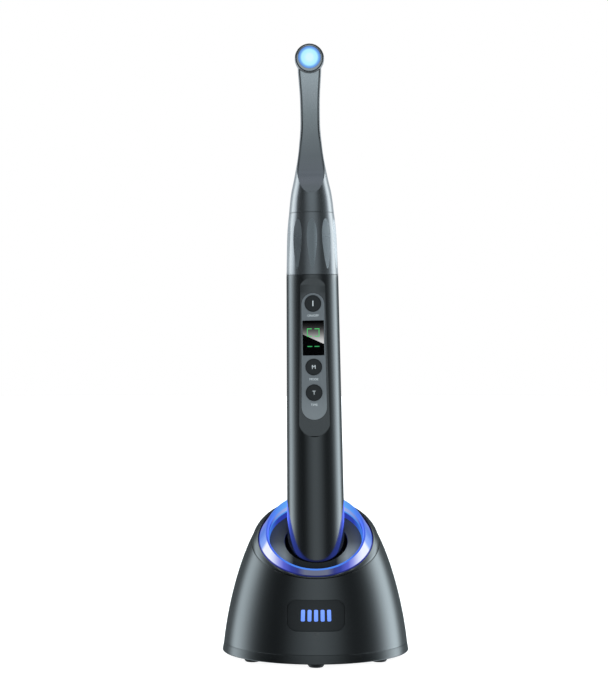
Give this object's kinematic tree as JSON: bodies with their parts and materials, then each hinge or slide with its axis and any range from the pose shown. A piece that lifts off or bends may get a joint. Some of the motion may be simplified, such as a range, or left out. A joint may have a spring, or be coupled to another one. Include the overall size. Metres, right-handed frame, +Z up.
{
  "type": "dental curing light",
  "caption": "Cordless dental curing light: a pen handpiece with a swivelling bent neck, round lens, display and push buttons, standing in a domed charging base with a lit ring.",
  "frame": {"origin": "on the table under the middle of the round base", "axes": "+Z up, -Y towards the front where the buttons and the lens face, +X to the right seen from the front"},
  "size_m": [0.0734, 0.0734, 0.2415],
  "materials": {
    "black_plastic": "satin black moulding",
    "gunmetal": "polished dark anodised",
    "steel": "satin",
    "gold_plate": "plated",
    "blue_acrylic": "clear blue, lit from below",
    "grey_panel": "satin grey",
    "dark_glass": "glossy smoked window",
    "lens_glass": "clear, lit blue",
    "rubber": "matte",
    "circuit_board": "solder mask",
    "cell_wrap": "shrink wrap",
    "white_plastic": "natural",
    "cable": "satin jacket"
  },
  "bodies": {
    "base": {"base_shell": "black_plastic", "base_rim": "black_plastic", "base_tray": "black_plastic", "cradle": "black_plastic", "front_panel": "dark_glass", "light_ring": "blue_acrylic", "ring_light_board": "circuit_board", "charging_board": "circuit_board", "power_inlet": "steel", "centre_pin_barrel": "gold_plate", "outer_pin_barrel": "gold_plate", "foot_1": "rubber", "foot_2": "rubber", "foot_3": "rubber", "foot_4": "rubber", "foot_5": "rubber", "foot_6": "rubber", "base_screw_1": "steel", "base_screw_2": "steel", "base_screw_3": "steel", "base_screw_4": "steel"},
    "centre_pin": {"centre_contact_pin": "gold_plate"},
    "outer_pin": {"outer_contact_pin": "gold_plate"},
    "handpiece": {"body_tube": "black_plastic", "end_cap": "black_plastic", "cap_seal": "rubber", "centre_contact": "gold_plate", "ring_contact": "gold_plate", "battery_pad": "rubber", "battery_cell": "cell_wrap", "control_panel": "grey_panel", "display_window": "dark_glass", "display_module": "dark_glass", "display_holder": "white_plastic", "main_board": "circuit_board", "power_switch": "steel", "mode_switch": "steel", "time_switch": "steel", "grip_sleeve": "gunmetal", "swivel_bush": "gold_plate", "stop_pin": "steel", "board_lead": "cable"},
    "neck": {"neck_shell": "gunmetal", "lens_bezel": "steel", "lens": "lens_glass", "reflector": "steel", "led_board": "gold_plate", "led_emitter": "lens_glass", "led_lead": "cable", "lead_grommet": "rubber", "neck_seal": "rubber", "retaining_clip": "steel"},
    "power_button": {"power_button": "grey_panel", "power_plunger": "white_plastic"},
    "mode_button": {"mode_button": "grey_panel", "mode_plunger": "white_plastic"},
    "time_button": {"time_button": "grey_panel", "time_plunger": "white_plastic"}
  },
  "joints": [
    {"name": "handpiece_lift", "type": "slide", "parent": "base", "child": "handpiece", "axis": [-0.014, 0, 0.9999], "range_m": [0, 0.075]},
    {"name": "neck_swivel", "type": "hinge", "parent": "handpiece", "child": "neck", "pos_m": [-0.00165, -0.0112, 0.17518], "axis": [-0.014, 0, 0.9999], "range_deg": [-165, 165]},
    {"name": "power_press", "type": "slide", "parent": "handpiece", "child": "power_button", "axis": [0, 1, 0], "range_m": [0, 0.0005], "stiffness_N_per_m": 1500},
    {"name": "mode_press", "type": "slide", "parent": "handpiece", "child": "mode_button", "axis": [0, 1, 0], "range_m": [0, 0.0005], "stiffness_N_per_m": 1500},
    {"name": "time_press", "type": "slide", "parent": "handpiece", "child": "time_button", "axis": [0, 1, 0], "range_m": [0, 0.0005], "stiffness_N_per_m": 1500},
    {"name": "centre_pin_press", "type": "slide", "parent": "base", "child": "centre_pin", "axis": [0, 0, -1], "range_m": [0, 0.001], "stiffness_N_per_m": 300},
    {"name": "outer_pin_press", "type": "slide", "parent": "base", "child": "outer_pin", "axis": [0, 0, -1], "range_m": [0, 0.001], "stiffness_N_per_m": 300}
  ]
}
